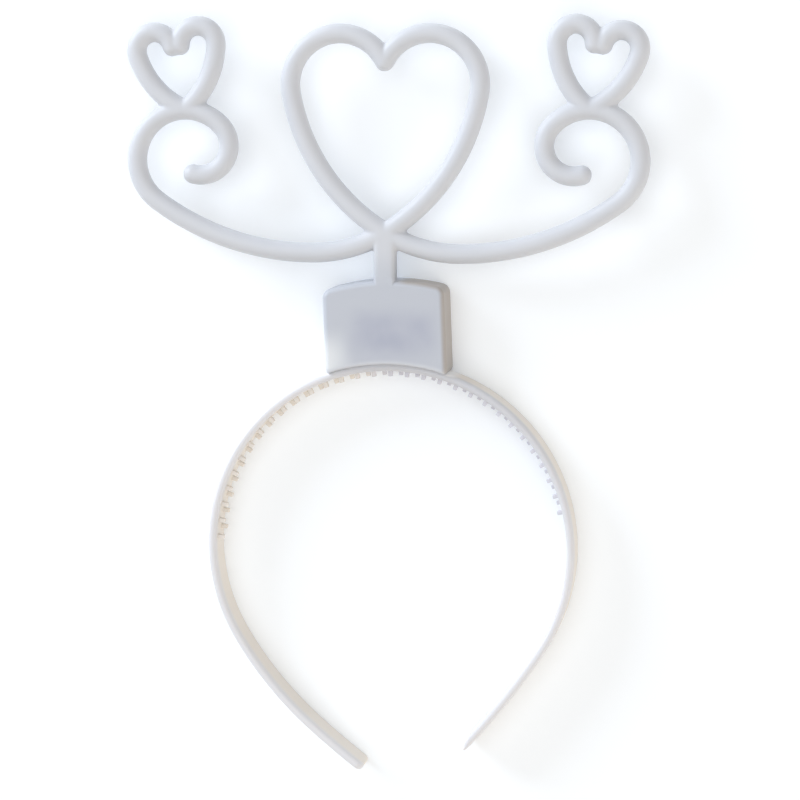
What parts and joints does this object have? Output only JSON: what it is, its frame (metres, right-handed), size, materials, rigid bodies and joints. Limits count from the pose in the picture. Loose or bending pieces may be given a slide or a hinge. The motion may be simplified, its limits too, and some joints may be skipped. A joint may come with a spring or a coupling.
{
  "type": "light-up headband",
  "caption": "Plastic hairband with inner comb teeth, a milky battery case on its crown and a light-up topper of round tube bent into hearts and scrolls; worn on the head.",
  "frame": {"origin": "under the middle of the bounding box, on the plane that the headband lies on", "axes": "+X to the right of someone looking at the front, +Y from the hoop up to the topper, +Z out of the front"},
  "size_m": [0.1884, 0.273, 0.016],
  "materials": {
    "white_plastic": "moulded white polypropylene, satin",
    "milky_plastic": "moulded milky translucent plastic, satin",
    "switch_plastic": "moulded white plastic, fine matt",
    "battery_wrap": "grey shrink wrap"
  },
  "bodies": {
    "root": {"band": "white_plastic", "case_front": "milky_plastic", "case_back": "milky_plastic", "switch": "switch_plastic", "battery_pack": "battery_wrap", "topper": "milky_plastic"}
  },
  "joints": []
}
